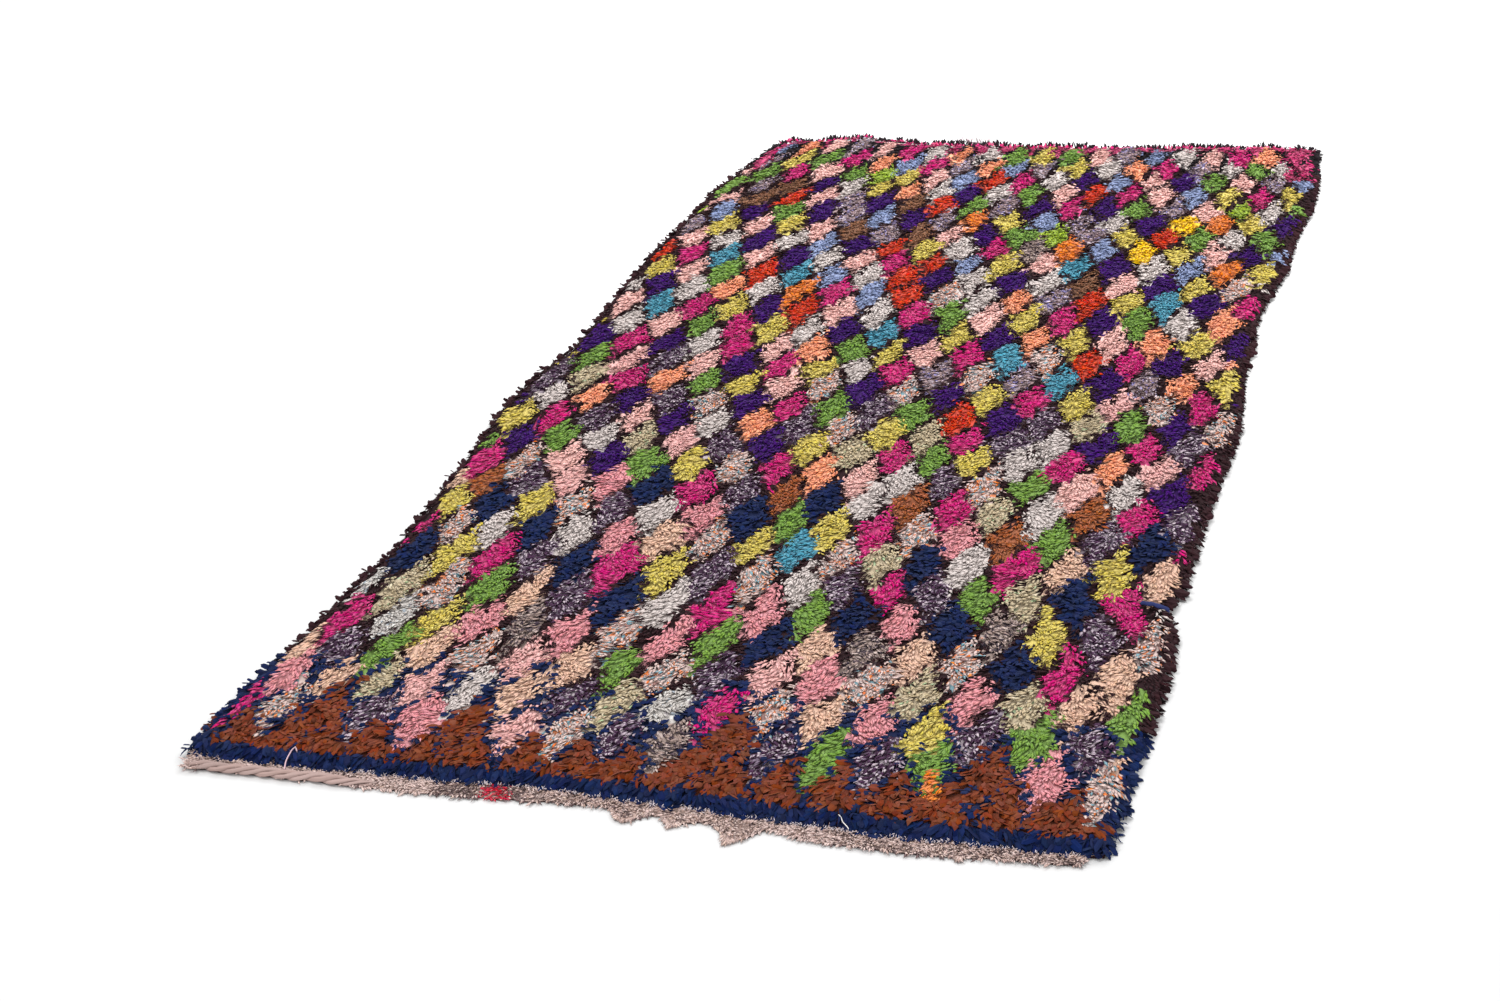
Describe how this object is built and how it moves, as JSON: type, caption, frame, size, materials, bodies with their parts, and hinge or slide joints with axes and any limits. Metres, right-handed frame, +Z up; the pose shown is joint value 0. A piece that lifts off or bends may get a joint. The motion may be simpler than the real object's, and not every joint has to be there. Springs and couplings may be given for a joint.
{
  "type": "boucherouite rug",
  "caption": "Long hand-knotted rag pile rug with a traditional lozenge lattice, a flat-woven end and a shaggy rim, lying flat to cover a floor.",
  "frame": {"origin": "on the floor, under the middle of the rug's box", "axes": "+Y along the rug from its flat-woven end to its far end, +X across it to the right seen from that end, +Z up"},
  "size_m": [1.404, 3.01, 0.0307],
  "materials": {
    "rag_pile": "matt knotted rag pile in many colours",
    "navy_rag": "matt cotton rag strip"
  },
  "bodies": {
    "root": {"rug": "rag_pile", "selvedge_tie": "navy_rag"}
  },
  "joints": []
}
